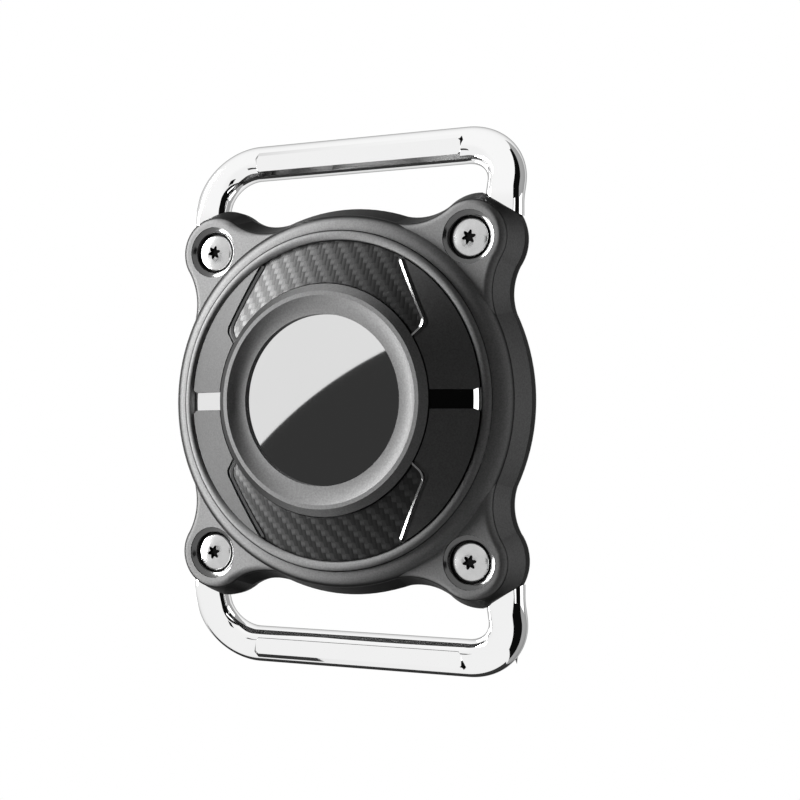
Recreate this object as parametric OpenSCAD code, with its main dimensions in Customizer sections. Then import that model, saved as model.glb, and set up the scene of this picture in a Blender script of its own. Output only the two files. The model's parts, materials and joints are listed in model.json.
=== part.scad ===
// Tracker tag holder: a two-shell case clamped by four corner screws round a
// coin-type tracker tag, with two metal bails for a strap. Millimetres.
// X is to the right, Z up, and the front looks along -Y. The rear face is Y = 0.
// Every piece is drawn flat, with its depth counted forward from the rear face,
// and upright() then stands it up.

/* [Tag] */
// Diameter of the coin cell
cell_d = 20; // [19.5:0.1:20.4]
// Height of the coin cell
cell_h = 3.2; // [3:0.1:3.3]
// Distance from the cell's side to the edge of the tag's steel battery cover
cell_rim_w = 2.7; // [2.4:0.05:3]
// Width of the white rim round the tag's steel battery cover
tag_rim_w = 3.25; // [3.1:0.05:3.4]
// Thickness of the tag over its steel face
tag_h = 8; // [7.6:0.1:8.4]
// Radius of the tag's rounded shoulder
tag_shoulder_r = 3.6; // [3.2:0.1:3.8]
// Wall of the tag's white shell
tag_wall = 1; // [0.8:0.1:1.2]
// Height of the wall round the cell's well
well_h = 2.2; // [1.6:0.1:2.4]
// Width of the contact springs beside the cell
spring_w = 2.8; // [2.2:0.1:3.2]
// Outer diameter of the voice coil
coil_d = 12.2; // [11.6:0.1:12.6]
// Width of the coil's winding
coil_w = 1; // [0.7:0.1:1.2]
// Height of the coil's winding
coil_h = 1.2; // [0.9:0.1:1.4]
// Diameter of the sounder's magnet
magnet_d = 9.2; // [8.6:0.1:9.6]

/* [Body] */
// Width of the rim between the disc and the parting line
rim_w = 5.45; // [5.2:0.05:5.8]
// Thickness of the side at the parting line
side_t = 3.95; // [3.7:0.05:4.2]
// How far the side wall leans in between the parting line and the front
wall_lean = 1.35; // [1.1:0.05:1.5]
// Height of the parting line above the rear face
parting_h = 4; // [3.8:0.1:4.2]
// Height of the side wall from the parting line to its front edge
wall_h = 3.5; // [3.2:0.1:3.8]
// Radius of the round shoulder between side wall and ring
shoulder_r = 2.2; // [1.6:0.1:2.4]
// Thickness of the rear cover's floor
floor_t = 1.8; // [1.4:0.1:2]
// Radius of the rounded rear edge
rear_r = 2.6; // [1.6:0.1:2.8]

/* [Lobes and screws] */
// How far a screw lies inside the round body's side
screw_in_x = 7.92; // [7.4:0.02:8.3]
// How far a screw lies below the round body's crown
screw_in_z = 5.85; // [5.3:0.05:6.3]
// Radius of a corner lobe at the parting line
lobe_r = 6.9; // [6.8:0.05:7.2]
// Radius of the rounded front edge of a lobe
lobe_edge_r = 1.1; // [0.6:0.1:1.4]
// Radius of the hollow between lobe and side
waist_r = 8.4; // [7:0.2:11]
// Radius of the hollow between lobe and crown
crown_r = 8.8; // [7:0.2:12]
// Diameter of the screw's thread
screw_d = 3; // [2.8:0.1:3.2]
// Diameter of the screw head
head_d = 5.6; // [5.2:0.1:5.8]
// Gap between the screw head and its counterbore
head_gap = 0.35; // [0.2:0.05:0.4]
// Height of the screw head over its dome
head_h = 1.4; // [1.2:0.1:1.5]
// Depth of the screw head's top below the lobe's face
head_drop = 0.3; // [0.1:0.05:0.5]
// Outer diameter of the bevel round the screw head
bevel_d = 7.8; // [7.4:0.1:8]
// Depth of that bevel
bevel_h = 0.8; // [0.4:0.1:1]
// Depth of the six-lobed driver recess
drive_h = 0.8; // [0.5:0.1:1]
// Diameter of that recess over its lobes
drive_d = 2.2; // [1.9:0.05:2.5]
// Outer diameter of the threaded insert
insert_d = 4.2; // [4:0.1:4.4]
// Wall of the boss that holds the insert
boss_wall = 0.8; // [0.6:0.1:0.9]

/* [Ring and disc] */
// Width of the centre disc between bezel and rim
disc_w = 6.6; // [6.3:0.1:6.9]
// Height of the disc's outer edge above the ring round it
disc_up = 0.5; // [0.3:0.1:0.7]
// Height by which the disc's surface rises to the bezel
disc_rise = 3.1; // [2.8:0.1:3.3]
// Thickness of the disc's shell
disc_t = 1.7; // [1.5:0.1:1.9]
// Radius of the bead that runs round the disc
bead_r = 0.8; // [0.5:0.05:0.9]
// Width of the ledge that carries the disc
ledge_w = 1.7; // [1.2:0.1:2]
// Thickness of that ledge
ledge_t = 1.2; // [0.8:0.1:1.4]

/* [Bezel] */
// How far the window's edge reaches over the tag's steel cover
window_lap = 0.2; // [0.05:0.05:0.4]
// Height of the bezel's lip above the disc
lip_up = 0.95; // [0.8:0.05:1.2]
// Depth of the bezel's dish, from the lip down to the window
dish_h = 0.8; // [0.6:0.05:0.9]
// Radius of the dish's hollow
dish_r = 5; // [4:0.5:8]
// Width of the lip's flat
lip_w = 0.6; // [0.4:0.1:0.7]
// Width of the bevel outside the lip
bezel_bevel_w = 1.1; // [0.9:0.1:1.3]
// How far the bezel reaches outside the tag
bezel_lap = 0.95; // [0.8:0.05:1.2]
// Width of the fine groove round the bezel
groove_w = 0.2; // [0.1:0.05:0.3]
// Height of the bezel's bevelled outer edge above its seat
bezel_edge = 0.7; // [0.5:0.1:0.9]

/* [Inserts] */
// Thickness of a carbon insert
insert_t = 0.5; // [0.4:0.05:0.7]
// Depth of an insert's surface below the disc
insert_drop = 0.35; // [0.2:0.05:0.5]
// Angle of an insert's side at the rim, counted from the side of the disc
insert_rim_a = 61.3; // [60:0.1:62.5]
// Angle of an insert's corner beside the bezel
insert_corner_a = 33.4; // [32.5:0.1:34.5]
// Distance of that corner outside the bezel
insert_corner_w = 2.38; // [2.1:0.02:2.7]
// Radius of those corners
insert_corner_r = 1.2; // [0.6:0.1:1.6]
// Angle of an insert's end beside the bezel
insert_end_a = 30.5; // [29:0.5:32]
// Width of the step round an insert
insert_step_w = 0.45; // [0.3:0.05:0.6]
// Depth of that step
insert_step_h = 0.25; // [0.15:0.05:0.4]
// Height of a slot inlay
inlay_w = 2.75; // [2.2:0.05:3.2]
// Depth of a slot inlay in the disc
inlay_t = 0.9; // [0.6:0.1:1.1]
// Depth of an inlay's surface below the disc
inlay_drop = 0.2; // [0.1:0.05:0.3]
// Length of an inlay's bevelled outer end
inlay_end = 0.9; // [0.6:0.1:1.2]
// How far that end widens to each side
inlay_flare = 0.4; // [0.2:0.05:0.6]
// How far that end drops towards the rim
inlay_fall = 0.35; // [0.2:0.05:0.5]

/* [Bails] */
// How far a bail's leg lies outside its screw
leg_out = 3.52; // [3.2:0.02:3.7]
// Width of the bail's bar, seen from the front
bail_w = 5.5; // [5:0.1:5.8]
// Thickness of the bail from front to back
bail_t = 4.2; // [3.8:0.1:4.4]
// Radius of the bail's long edges
bail_edge_r = 1.8; // [1.2:0.1:1.9]
// Radius of the bail's corners, along its middle
bail_corner_r = 7; // [6:0.5:9]
// Height of the bar's middle above the screws
bar_up = 14.5; // [14:0.1:17]
// Angle by which the bail leans back
bail_lean = 27; // [18:1:30]
// Height above the screws where the bail starts to lean
bend_up = 5; // [4.9:0.1:5.5]
// Radius of that bend
bend_r = 5; // [4:0.5:7]
// Distance of the flat that a leg stands on from its screw
leg_flat_r = 6.08; // [6:0.02:6.2]
// Direction of that flat, counted from the side
leg_flat_a = 57.7; // [56:0.1:59]
// Width of the stem between a leg and its eye
stem_w = 3; // [2.4:0.1:3.4]
// Thickness of that stem
stem_t = 2; // [1.6:0.1:2.1]
// Thickness of the bail's flat eye under the screw
eye_t = 2.8; // [2.4:0.1:3]
// Width of the flat on the front of the straight bar
flat_w = 2.65; // [2:0.05:3]
// How far that flat stops short of the bail's corners
flat_end = 0.45; // [0.1:0.05:2]
// Distance of the flat in front of the bar's middle
flat_h = 2.7; // [2.5:0.05:2.9]
// How far the flat lies nearer to the body than the bar's middle
flat_shift = 0.95; // [0.5:0.05:1.2]
// Bevel round the flat
flat_bevel = 0.65; // [0.3:0.05:0.8]

/* [Seal and pad] */
// Thickness of the foam pad behind the tag
pad_t = 1.5; // [1:0.1:1.8]
// Diameter of the foam pad
pad_d = 20; // [16:1:22]
// Diameter of the seal ring's cord
seal_d = 1.2; // [1:0.1:1.3]
// Wall of the rear cover's spigot
spigot_t = 2.6; // [2.2:0.1:3]
// Height of the spigot above the floor
spigot_h = 4.6; // [4.5:0.1:4.8]
// Wall of the ring that cradles the tag
cradle_t = 1.2; // [1:0.1:1.5]
// Thickness of the floor's ribs
rib_t = 1; // [0.8:0.1:1.4]

/* [Clearances] */
// Gap between flat faces that meet across the two shells
face_gap = 0.05; // [0.02:0.01:0.1]
// Radial gap of a shaft or spigot in its hole
fit_gap = 0.06; // [0.02:0.01:0.1]
// Gap round loosely held pieces
loose_gap = 0.3; // [0.2:0.05:0.4]

/* [Hidden] */
$fn = 96;
eps = 0.01;

// Everything is set outwards from the tag's cell
tag_face_r = cell_d / 2 + cell_rim_w;
tag_r = tag_face_r + tag_rim_w;
window_r = tag_face_r - window_lap;
bezel_r = tag_r + bezel_lap;
lip_out = bezel_r - bezel_bevel_w;
lip_r = lip_out - lip_w;
disc_r = bezel_r + disc_w;
body_r = disc_r + rim_w;
cavity_r = body_r - side_t;
screw_x = body_r - screw_in_x;
screw_z = body_r - screw_in_z;

// Heights, from the parting line forward to the window
wall_top = parting_h + wall_h;
lobe_h = wall_top + lobe_edge_r;
ring_h = wall_top + shoulder_r;
disc_edge_h = ring_h + disc_up;
disc_top_h = disc_edge_h + disc_rise;
lip_h = disc_top_h + lip_up;
window_h = lip_h - dish_h;

// Screws, inserts and bosses
screw_r = screw_d / 2;
head_top = lobe_h - head_drop;
head_seat = head_top - head_h;
counter_r = head_d / 2 + head_gap;
boss_r = insert_d / 2 + boss_wall;
eye_mid = 4;
eye_low = eye_mid - eye_t / 2;
eye_high = eye_mid + eye_t / 2;
eye_hole_r = boss_r + 0.1;
pocket_r = lobe_r - wall_lean - 0.55;
eye_r = pocket_r - loose_gap;
insert_floor = 1.2;

// Bail: its places, its leg above the bend, and the depth of its bar's middle
leg_x = screw_x + leg_out;
bend_z = screw_z + bend_up;
bar_z = screw_z + bar_up;
bar_rise = (bar_z - bend_z - bend_r * sin(bail_lean)) / cos(bail_lean);
leg_len = bar_rise - bail_corner_r;
bar_mid = eye_mid - bend_r * (1 - cos(bail_lean)) - bar_rise * sin(bail_lean);
half_bar = leg_x - bail_corner_r;
flat_len = 2 * (half_bar - flat_end);
foot_low = screw_z + 3;

// Disc, bezel, ledge and seal
seal_h = floor_t + spigot_h - seal_d - 0.2;
disc_slope = (disc_top_h - disc_edge_h) / (disc_r - bezel_r);
ledge_h = disc_edge_h - 2;
bezel_seat = disc_top_h - bezel_edge;
spigot_r = bezel_r - 0.7;

// The tag, placed just behind the window
tag_top = window_h - 0.6;
tag_low = tag_top - tag_h;
tag_wide_h = tag_h - 0.2 - tag_shoulder_r;
tag_rear_r = tag_wide_h - 1;
cradle_r = tag_r + loose_gap;
cradle_top = tag_low + tag_wide_h - 1;
pad_low = tag_low - pad_t;

// Heights of what is inside the tag, above its back
coil_low = tag_wall + face_gap;
board_low = 1.6;
board_t = 0.8;
frame_low = 3.2;
frame_t = 0.7;
contact_t = 0.2;
plate_r = magnet_d / 2 + 0.34;
board_r = tag_r - tag_rear_r - 0.2;
cell_low = frame_low + frame_t + contact_t;
cover_t = 0.5;
cover_skirt = 1.4;

// Round corners cut this much into the walls that they join, so that they don't just touch
bite = 0.02;

// Centre of the round hollow between the body and a lobe, which cuts into both alike
screw_dist = norm([screw_x, screw_z]);
screw_angle = atan2(screw_z, screw_x);
function polar(r, a) = r * [cos(a), sin(a)];
function hollow_turn(a, b) = acos((a * a + screw_dist * screw_dist - b * b) / (2 * a * screw_dist));
function hollow_centre(f, side) =
    polar(body_r + f - 2 * bite,
        screw_angle + side * hollow_turn(body_r + f - 2 * bite, lobe_r + f - 2 * bite));

// Height of the disc's cone at a radius
function cone_h(r) = disc_edge_h + (disc_r - r) * disc_slope;

module upright() { rotate([90, 0, 0]) children(); }

// Four copies, one in each quarter
module quarters() {
    for (mx = [0, 1], mz = [0, 1])
        mirror([mx, 0, 0]) mirror([0, mz, 0]) children();
}

// A flat ring on the centre line, from height h0 to h1
module ring(r_out, r_in, h0, h1) {
    translate([0, 0, h0]) difference() {
        cylinder(r = r_out, h = h1 - h0);
        translate([0, 0, -1]) cylinder(r = r_in, h = h1 - h0 + 2);
    }
}

// Side wall of the front frame round a circle of radius r: a leaning wall and a round edge
module front_edge(r, edge) {
    polygon([[0, parting_h + face_gap], [r, parting_h + face_gap], [r - wall_lean, wall_top], [0, wall_top]]);
    translate([0, wall_top - eps]) square([r - wall_lean - edge, edge + eps]);
    translate([r - wall_lean - edge, wall_top]) circle(edge);
}

// The same wall seen from the hollow side, as the space to take away
module front_hollow(f) {
    difference() {
        union() {
            polygon([[0, 0], [f, 0], [f, parting_h], [f + wall_lean, wall_top], [0, wall_top]]);
            translate([0, wall_top]) square([f + wall_lean + lobe_edge_r, lobe_edge_r + 1]);
        }
        translate([f + wall_lean + lobe_edge_r - bite, wall_top]) circle(lobe_edge_r);
    }
}

// Side wall of the rear cover round a circle of radius r, and its hollow side
module rear_edge(r) {
    intersection() {
        union() {
            translate([0, rear_r]) square([r, parting_h - rear_r]);
            square([r - rear_r, parting_h]);
            translate([r - rear_r, rear_r]) circle(rear_r);
        }
        square([r + 1, parting_h]);
    }
}
module rear_hollow(f) {
    difference() {
        translate([0, -1]) square([f + rear_r, parting_h + 2]);
        translate([f, rear_r]) square([rear_r + 1, parting_h + 2]);
        translate([f + rear_r, rear_r]) circle(rear_r);
    }
}

// The wedge of body between a lobe and the round body, before its hollow is cut
module web(f, side, h0, h1) {
    c = hollow_centre(f, side);
    screw = [screw_x, screw_z];
    in_body = body_r - 3;
    in_lobe = lobe_r - 3;
    past = screw_angle - side * 4;
    translate([0, 0, h0]) linear_extrude(h1 - h0) polygon([
        c * in_body / norm(c), c, screw + (c - screw) * in_lobe / norm(c - screw),
        polar(screw_dist - 2, past), polar(in_body, past)
    ]);
}

// Outer form of the front frame
module front_form() {
    rotate_extrude() front_edge(body_r, shoulder_r);
    quarters() {
        translate([screw_x, screw_z, 0]) rotate_extrude() front_edge(lobe_r, lobe_edge_r);
        for (side = [-1, 1]) {
            f = side < 0 ? waist_r : crown_r;
            difference() {
                web(f, side, parting_h + face_gap, lobe_h);
                translate(concat(hollow_centre(f, side), 0)) rotate_extrude() front_hollow(f);
            }
        }
    }
}

// Outer form of the rear cover
module rear_form() {
    rotate_extrude() rear_edge(body_r);
    quarters() {
        translate([screw_x, screw_z, 0]) rotate_extrude() rear_edge(lobe_r);
        for (side = [-1, 1]) {
            f = side < 0 ? waist_r : crown_r;
            difference() {
                web(f, side, 0, parting_h);
                translate(concat(hollow_centre(f, side), 0)) rotate_extrude() rear_hollow(f);
            }
        }
    }
}

// Leans children back with the bail, about the centre line of its bend
module leaning() {
    translate([0, bend_z, eye_mid - bend_r]) rotate([-bail_lean, 0, 0]) children();
}

// Everything beyond the flat that a bail's leg stands on, moved outwards by a gap
module beyond_flat(gap) {
    far = 3 * lobe_r;
    translate([screw_x, screw_z, -far]) rotate(leg_flat_a) translate([leg_flat_r + gap, -far, 0])
        cube([2 * far, 2 * far, 3 * far]);
}

// A leg's stem, which runs from its screw towards that flat
module stem(reach, wide, low, high) {
    translate([screw_x, screw_z, low]) rotate(leg_flat_a) translate([0, -wide / 2, 0])
        cube([reach, wide, high - low]);
}

// Pocket for a leg's flat eye and stem: from one height up to the eye's and the stem's own tops
module eye_pocket(low, eye_top, stem_top) {
    translate([screw_x, screw_z, low]) cylinder(r = pocket_r, h = eye_top - low);
    stem(leg_flat_r + 2, stem_w + loose_gap, low, stem_top);
}

module rear_cover() {
    color([0.16, 0.16, 0.17]) upright() difference() {
        union() {
            difference() {
                rear_form();
                translate([0, 0, floor_t]) cylinder(r = cavity_r - spigot_t, h = parting_h);
                quarters() eye_pocket(eye_low - face_gap, lobe_h, lobe_h);
            }
            difference() {
                ring(cavity_r - fit_gap, cavity_r - spigot_t, floor_t - eps, floor_t + spigot_h);
                seal_groove();
            }
            ring(cradle_r + cradle_t, cradle_r, floor_t - eps, cradle_top);
            translate([0, 0, floor_t - eps]) cylinder(d = pad_d + 4, h = pad_low - floor_t + eps);
            for (a = [0 : 45 : 315]) rotate(a + 22.5)
                translate([cradle_r + cradle_t - 0.3, -rib_t / 2, floor_t - eps])
                    cube([cavity_r - spigot_t - cradle_r - cradle_t + 0.6, rib_t, spigot_h]);
            quarters() translate([screw_x, screw_z, floor_t]) cylinder(r = boss_r, h = eye_high - floor_t);
        }
        quarters() {
            translate([screw_x, screw_z, insert_floor]) cylinder(d = insert_d, h = eye_high);
            beyond_flat(0);
        }
    }
}

module seal_groove() {
    ring(cavity_r + 1, cavity_r - seal_d - 0.05, seal_h - seal_d / 2, seal_h + seal_d / 2);
}
module seal_ring() {
    color([0.08, 0.08, 0.08]) upright() translate([0, 0, seal_h]) rotate_extrude()
        translate([cavity_r - seal_d / 2 - 0.02, 0]) circle(d = seal_d - 0.02);
}

module tag_pad() {
    color([0.2, 0.2, 0.2]) upright() translate([0, 0, pad_low]) cylinder(d = pad_d, h = pad_t - face_gap);
}

module threaded_inserts() {
    color([0.78, 0.6, 0.28]) upright() quarters() translate([screw_x, screw_z, 0]) difference() {
        translate([0, 0, insert_floor]) union() {
            cylinder(d = insert_d - 0.5, h = eye_high - insert_floor);
            cylinder(d = insert_d, h = 1.2);
            translate([0, 0, eye_high - insert_floor - 1.2]) cylinder(d = insert_d, h = 1.2);
        }
        translate([0, 0, insert_floor - 1]) cylinder(r = screw_r + fit_gap, h = eye_high + 2);
    }
}

// Cross-section of the bail, made smaller by an inset: width along x, thickness along y
module bail_section(inset) {
    w = bail_w / 2 - bail_edge_r;
    t = bail_t / 2 - bail_edge_r;
    r = bail_edge_r - inset;
    square([2 * w, 2 * (t + r)], center = true);
    square([2 * (w + r), 2 * t], center = true);
    for (sx = [-1, 1], sy = [-1, 1]) translate([sx * w, sy * t]) circle(r);
}

// One leg: the flat eye round its screw with its stem, then the round leg with its foot and bend
module bail_leg() {
    difference() {
        union() {
            translate([screw_x, screw_z, eye_low]) cylinder(r = eye_r, h = eye_t);
            stem(leg_flat_r + 0.6, stem_w, eye_low, eye_low + stem_t);
        }
        translate([screw_x, screw_z, 0]) cylinder(r = eye_hole_r, h = lobe_h);
    }
    intersection() {
        union() {
            translate([leg_x, foot_low, eye_mid]) rotate([-90, 0, 0])
                linear_extrude(bend_z + 0.6 - foot_low) bail_section(0.12);
            leaning() mirror([0, 1, 0]) rotate([0, -90, 0]) rotate_extrude(angle = bail_lean)
                translate([bend_r, -leg_x]) rotate(90) bail_section(0);
        }
        beyond_flat(2 * face_gap);
    }
    leaning() {
        translate([leg_x, 0, bend_r]) rotate([-90, 0, 0]) linear_extrude(leg_len) bail_section(0);
        translate([0, leg_len, bend_r]) translate([half_bar, 0, 0]) rotate_extrude(angle = 90)
            translate([bail_corner_r, 0]) bail_section(0);
    }
}

// The flat on the bar faces forward, with a bevel all round
module flat_outline(half) {
    polygon([
        [half, flat_h], [half + flat_bevel, flat_h - flat_bevel], [half - flat_bevel, -0.6],
        [flat_bevel - half, -0.6], [-half - flat_bevel, flat_h - flat_bevel], [-half, flat_h]
    ]);
}
module bar_flat() {
    translate([0, bar_z - flat_shift, bar_mid]) intersection() {
        rotate([90, 0, 90]) linear_extrude(flat_len + 4, center = true) flat_outline(flat_w / 2);
        rotate([90, 0, 0]) linear_extrude(flat_w + 4, center = true) flat_outline(flat_len / 2);
    }
}

module bail() {
    color([0.86, 0.87, 0.88]) {
        bail_leg();
        mirror([1, 0, 0]) bail_leg();
        leaning() translate([0, leg_len, bend_r]) translate([-half_bar, bail_corner_r, 0])
            rotate([90, 0, 90]) linear_extrude(2 * half_bar) bail_section(0);
        bar_flat();
    }
}

module top_bail() { upright() bail(); }
module bottom_bail() { upright() mirror([0, 1, 0]) bail(); }

module front_frame() {
    color([0.24, 0.24, 0.25]) upright() difference() {
        union() {
            front_form();
            rotate_extrude() translate([disc_r + 0.05 + bead_r, ring_h]) circle(bead_r);
        }
        translate([0, 0, ledge_h]) cylinder(r = disc_r + 0.05, h = ring_h);
        cylinder(r = disc_r - ledge_w, h = ring_h);
        cylinder(r = cavity_r, h = ledge_h - ledge_t);
        quarters() {
            translate([screw_x, screw_z, 0]) {
                cylinder(r = screw_r + fit_gap, h = lobe_h);
                translate([0, 0, head_seat]) cylinder(r = counter_r, h = lobe_h);
                rotate_extrude() bevel_cut();
            }
            eye_pocket(0, eye_high + face_gap, eye_low + stem_t + face_gap);
            beyond_flat(0);
        }
    }
}

// Hollow-ground bevel round a screw head
module bevel_cut() {
    difference() {
        translate([0, lobe_h - bevel_h]) square([bevel_d / 2, bevel_h + 1]);
        translate([bevel_d / 2, lobe_h - bevel_h - 0.15]) circle(bevel_d / 2 - counter_r - 0.1);
    }
}

module center_disc() {
    inner = spigot_r + 0.05;
    skirt_r = inner + 1.15;
    skirt_low = cradle_top + face_gap * 2;
    color([0.24, 0.24, 0.25]) upright() difference() {
        rotate_extrude() polygon([
            [bezel_r + groove_w, cone_h(bezel_r + groove_w)], [disc_r, disc_edge_h], [disc_r, ledge_h],
            [disc_r - ledge_w - 0.6, ledge_h], [skirt_r, cone_h(skirt_r) - disc_t], [skirt_r, skirt_low],
            [inner, skirt_low], [inner, bezel_seat], [bezel_r + groove_w, bezel_seat]
        ]);
        for (turn = [0, 180]) rotate(turn) {
            insert_slab(insert_drop + insert_t, 3, 0);
            insert_slab(insert_step_h, 3, -insert_step_w);
            inlay_slab(inlay_drop + inlay_t, 3, 0);
        }
    }
}

// The disc's cone between two depths below its surface
module cone_slab(deep, high) {
    rotate_extrude() polygon([
        [bezel_r, cone_h(bezel_r) - deep], [disc_r + 1, cone_h(disc_r + 1) - deep],
        [disc_r + 1, cone_h(disc_r + 1) + high], [bezel_r, cone_h(bezel_r) + high]
    ]);
}

// Outline of an insert: straight sides that spread from the rim to a round corner by the bezel
module insert_outline(grow) {
    rim_p = polar(disc_r, insert_rim_a);
    side = polar(bezel_r + insert_corner_w, insert_corner_a) - rim_p;
    lean = atan2(-side[1], side[0]);
    r = insert_corner_r;
    // the corner's circle touches the side line and the end line
    end_dir = [cos(insert_end_a + 18), sin(insert_end_a + 18)];
    end_p = (bezel_r - 1) * [cos(insert_end_a), sin(insert_end_a)];
    side_n = [sin(lean), cos(lean)];
    end_n = [end_dir[1], -end_dir[0]];
    side_p = rim_p + side_n * (grow - r);
    end_q = end_p + end_n * (grow - r);
    det = side_n[0] * end_n[1] - side_n[1] * end_n[0];
    a = side_n * side_p;
    b = end_n * end_q;
    c = [(a * end_n[1] - b * side_n[1]) / det, (b * side_n[0] - a * end_n[0]) / det];
    top = rim_p + 3 * [-cos(lean), sin(lean)] + side_n * grow;
    foot = end_p - 3 * end_dir + end_n * grow;
    for (m = [0, 1]) mirror([m, 0, 0]) {
        polygon([[0, 0], foot, c + end_n * r, c, c + side_n * r, top, [0, disc_r + 1]]);
        translate(c) circle(r + bite);
    }
}

module insert_slab(deep, high, gap) {
    intersection() {
        cone_slab(deep, high);
        linear_extrude(40) insert_outline(-gap);
    }
}

// A slot's straight sides, which flare at the rim
module inlay_slab(deep, high, gap) {
    half = inlay_w / 2 - gap;
    wide = half + 2 * inlay_flare;
    start = disc_r - inlay_end;
    intersection() {
        cone_slab(deep, high);
        linear_extrude(40) polygon([
            [0, -half], [start, -half], [disc_r + inlay_end, -wide],
            [disc_r + inlay_end, wide], [start, half], [0, half]
        ]);
    }
}

module carbon_insert() {
    color([0.1, 0.1, 0.11]) intersection() {
        insert_slab(insert_drop + insert_t, -insert_drop, 0.04);
        ring(disc_r, bezel_r + groove_w, 0, 40);
    }
}

module slot_inlay() {
    start = disc_r - inlay_end;
    past = disc_r + inlay_end;
    color([0.03, 0.03, 0.03]) difference() {
        intersection() {
            inlay_slab(inlay_drop + inlay_t, -inlay_drop, 0.04);
            ring(disc_r, bezel_r + groove_w, 0, 40);
        }
        rotate_extrude() polygon([
            [start, cone_h(start) - inlay_drop], [past, cone_h(past) - inlay_drop - 2 * inlay_fall],
            [past, 40], [start, 40]
        ]);
    }
}

module carbon_insert_top() { upright() carbon_insert(); }
module carbon_insert_bottom() { upright() rotate(180) carbon_insert(); }
module slot_inlay_left() { upright() rotate(180) slot_inlay(); }
module slot_inlay_right() { upright() slot_inlay(); }

module bezel_ring() {
    spigot_low = tag_low + tag_wide_h + tag_shoulder_r - 1;
    // centre of the hollow arc that runs from the window's edge to the lip
    chord = [lip_r - window_r, lip_h - window_h];
    reach = sqrt(dish_r * dish_r - pow(norm(chord) / 2, 2));
    mid = [window_r, window_h] + chord / 2;
    centre = mid + reach * [-chord[1], chord[0]] / norm(chord);
    color([0.3, 0.3, 0.31]) upright() rotate_extrude() difference() {
        polygon([
            [window_r, tag_top + 0.1], [window_r, window_h], [lip_r, lip_h], [lip_out, lip_h],
            [bezel_r, cone_h(bezel_r)], [bezel_r, bezel_seat + 0.02], [spigot_r, bezel_seat + 0.02], [spigot_r, spigot_low]
        ]);
        translate(centre) circle(dish_r);
    }
}

// A screw: domed head with a six-lobed recess, and a threaded shank
module screw() {
    tip = insert_floor + 0.6;
    dome_r = (pow(head_d / 2, 2) + 0.25) / (2 * 0.5);
    color([0.82, 0.83, 0.84]) difference() {
        union() {
            intersection() {
                translate([0, 0, head_seat]) cylinder(d = head_d, h = head_h);
                translate([0, 0, head_top - dome_r]) sphere(dome_r);
            }
            translate([0, 0, tip]) cylinder(r = screw_r, h = head_seat - tip + eps);
            translate([0, 0, tip - 0.4]) cylinder(r1 = screw_r - 0.4, r2 = screw_r, h = 0.4);
        }
        translate([0, 0, head_top - drive_h]) linear_extrude(2) {
            circle(r = drive_d / 2 - 0.32);
            for (a = [30 : 60 : 330]) rotate(a) translate([drive_d / 2 - 0.24, 0]) circle(0.24);
        }
    }
}

module screw_top_left() { upright() translate([-screw_x, screw_z, 0]) screw(); }
module screw_top_right() { upright() translate([screw_x, screw_z, 0]) screw(); }
module screw_bottom_left() { upright() translate([-screw_x, -screw_z, 0]) screw(); }
module screw_bottom_right() { upright() translate([screw_x, -screw_z, 0]) screw(); }

// Places the tag's pieces, which are drawn from the tag's own back
module in_tag() { upright() translate([0, 0, tag_low]) children(); }

// Half outline of the tag's shell: domed back, round rim and front shoulder
module tag_profile(inset) {
    rear_edge_r = tag_r - tag_rear_r;
    dome_r = (rear_edge_r * rear_edge_r + 1) / 2;
    intersection() {
        union() {
            translate([0, tag_wide_h - tag_rear_r]) square([rear_edge_r, tag_rear_r]);
            translate([rear_edge_r, tag_wide_h]) circle(tag_rear_r - inset);
            translate([0, tag_wide_h]) square([tag_r - tag_shoulder_r, tag_shoulder_r - inset]);
            translate([tag_r - tag_shoulder_r, tag_wide_h]) circle(tag_shoulder_r - inset);
            intersection() {
                square([rear_edge_r, tag_wide_h]);
                translate([0, dome_r]) circle(dome_r - inset, $fn = 360);
            }
        }
        square([tag_r + 1, tag_h]);
    }
}

module tag_shell() {
    lug_low = tag_h - cover_t - cover_skirt - 0.1;
    color([0.93, 0.93, 0.92]) in_tag() rotate_extrude() difference() {
        tag_profile(0);
        difference() {
            tag_profile(tag_wall);
            translate([0, -1]) square([tag_r, 1 + tag_wall]);
        }
        translate([0, lug_low]) square([tag_face_r + fit_gap, tag_h]);
        translate([0, lug_low]) square([tag_face_r + 0.55, 0.9]);
    }
}

module tag_inner_frame() {
    well_r = cell_d / 2 + 0.3;
    color([0.85, 0.85, 0.83]) in_tag() {
        ring(tag_r - tag_wall - 0.5, plate_r + fit_gap, frame_low, frame_low + frame_t);
        difference() {
            ring(well_r + 0.8, well_r, frame_low + frame_t - eps, frame_low + frame_t + well_h);
            for (a = [90, 210, 330]) rotate(a) translate([0, -spring_w / 2 - 0.6, 0])
                cube([tag_r, spring_w + 1.2, 2 * tag_h]);
        }
        for (a = [30, 150, 270]) rotate(a) translate([board_r - 1.05, 0, board_low + board_t])
            cylinder(r = 0.7, h = frame_low - board_low - board_t + eps);
    }
}

module tag_circuit_board() {
    coil_r = coil_d / 2;
    color([0.1, 0.28, 0.16]) in_tag() {
        ring(board_r, coil_r + 0.7, board_low, board_low + board_t);
        for (a = [0 : 36 : 324]) rotate(a + 12)
            translate([coil_r + (a % 72 == 0 ? 1.3 : 2.3), -0.8, board_low + board_t - eps])
                cube([a % 72 == 0 ? 2.4 : 1.2, 1.6, a % 72 == 0 ? 0.65 : 0.45]);
    }
}

module tag_magnet() {
    color([0.6, 0.6, 0.62]) in_tag() {
        translate([0, 0, coil_low + 0.5]) cylinder(d = magnet_d, h = frame_low - coil_low - 0.5);
        translate([0, 0, frame_low - eps]) cylinder(r = plate_r, h = frame_t);
    }
}

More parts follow.
